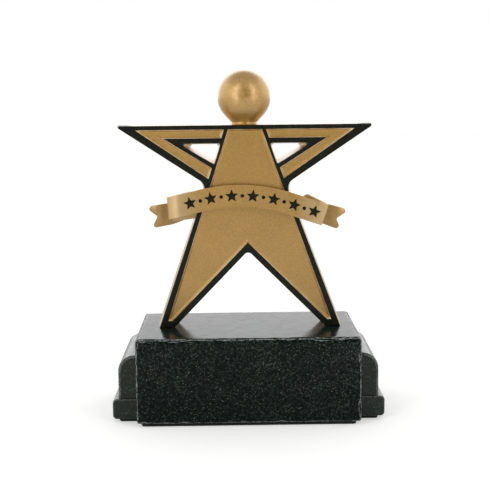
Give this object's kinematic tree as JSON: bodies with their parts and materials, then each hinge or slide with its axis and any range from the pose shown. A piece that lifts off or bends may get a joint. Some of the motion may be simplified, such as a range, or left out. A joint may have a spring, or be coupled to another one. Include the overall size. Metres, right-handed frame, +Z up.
{
  "type": "star trophy",
  "caption": "Desk-top award: a flat gold star figure with a ball head and a forked ribbon, outlined in black, on a speckled black stepped plinth.",
  "frame": {"origin": "on the ground under the middle of the plinth", "axes": "+Z up; the outlined face of the star and the plain face of the plinth look along -Y; +X is to the viewer's right"},
  "size_m": [0.1092, 0.0564, 0.14],
  "materials": {
    "speckled_black": "polished cast stone with fine silver flecks",
    "pad_black": "felt",
    "gold_paint": "satin metallic gold paint on cast resin",
    "black_enamel": "satin black paint on cast resin",
    "steel": "plain dowel"
  },
  "bodies": {
    "root": {"plinth_block": "speckled_black", "side_step_left": "speckled_black", "side_step_right": "speckled_black", "base_pad": "pad_black", "star_body": "gold_paint", "torso_panel": "gold_paint", "arm_panel_left": "gold_paint", "arm_panel_right": "gold_paint", "head_ball": "gold_paint", "neck_collar": "gold_paint", "banner_band": "gold_paint", "banner_roll_left": "gold_paint", "banner_fold_right": "gold_paint", "banner_tail_left": "gold_paint", "banner_tail_right": "gold_paint", "outline_frame": "black_enamel", "banner_star_inlays": "black_enamel", "foot_pins": "steel", "head_pin": "steel", "banner_pegs": "steel"}
  },
  "joints": []
}
